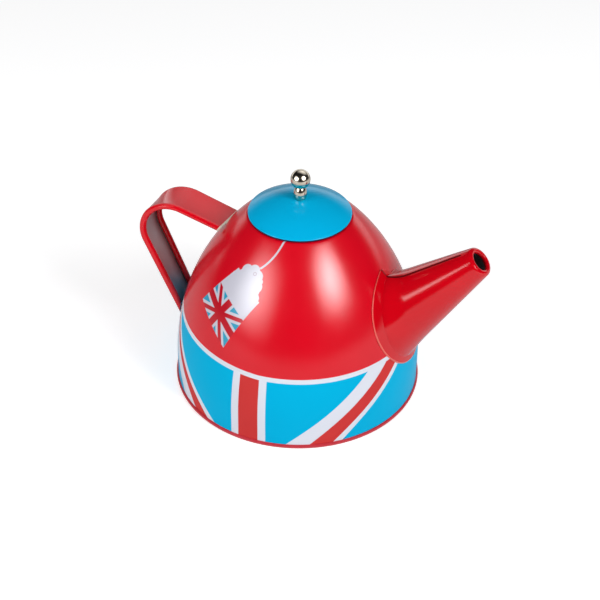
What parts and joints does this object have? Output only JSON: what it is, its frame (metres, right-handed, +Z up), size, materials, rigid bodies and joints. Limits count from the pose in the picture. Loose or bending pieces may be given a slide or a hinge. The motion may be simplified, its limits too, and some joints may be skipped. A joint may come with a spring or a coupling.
{
  "type": "toy teapot",
  "caption": "Domed tinplate toy teapot with a rolled straight spout, a flat strap handle with beaded edges, and a shallow lift-off lid with a ball knob.",
  "frame": {"origin": "on the pot's axis, on the plane that its rolled rim stands on", "axes": "+X towards the spout, -X towards the handle, +Z up along the pot's axis, +Y across"},
  "size_m": [0.1347, 0.096, 0.0922],
  "materials": {
    "red_enamel": "satin lacquer printed on tinplate",
    "printed_body": "satin lithographed tinplate, red above a striped blue band",
    "red_gloss": "gloss lacquer on tinplate",
    "cyan_enamel": "satin lacquer on tinplate",
    "bare_tin": "bare tinplate",
    "nickel": "polished nickel plate",
    "zinc_screw": "zinc plate"
  },
  "bodies": {
    "pot": {"body_shell": "printed_body", "base_plate": "red_enamel", "spout": "red_gloss", "handle_strap": "red_enamel"},
    "lid": {"lid_cap": "cyan_enamel", "lid_collar": "bare_tin", "knob": "nickel", "knob_screw": "zinc_screw"}
  },
  "joints": [
    {"name": "lid_lift", "type": "slide", "parent": "pot", "child": "lid", "axis": [0, 0, 1], "range_m": [0, 0.04]}
  ]
}
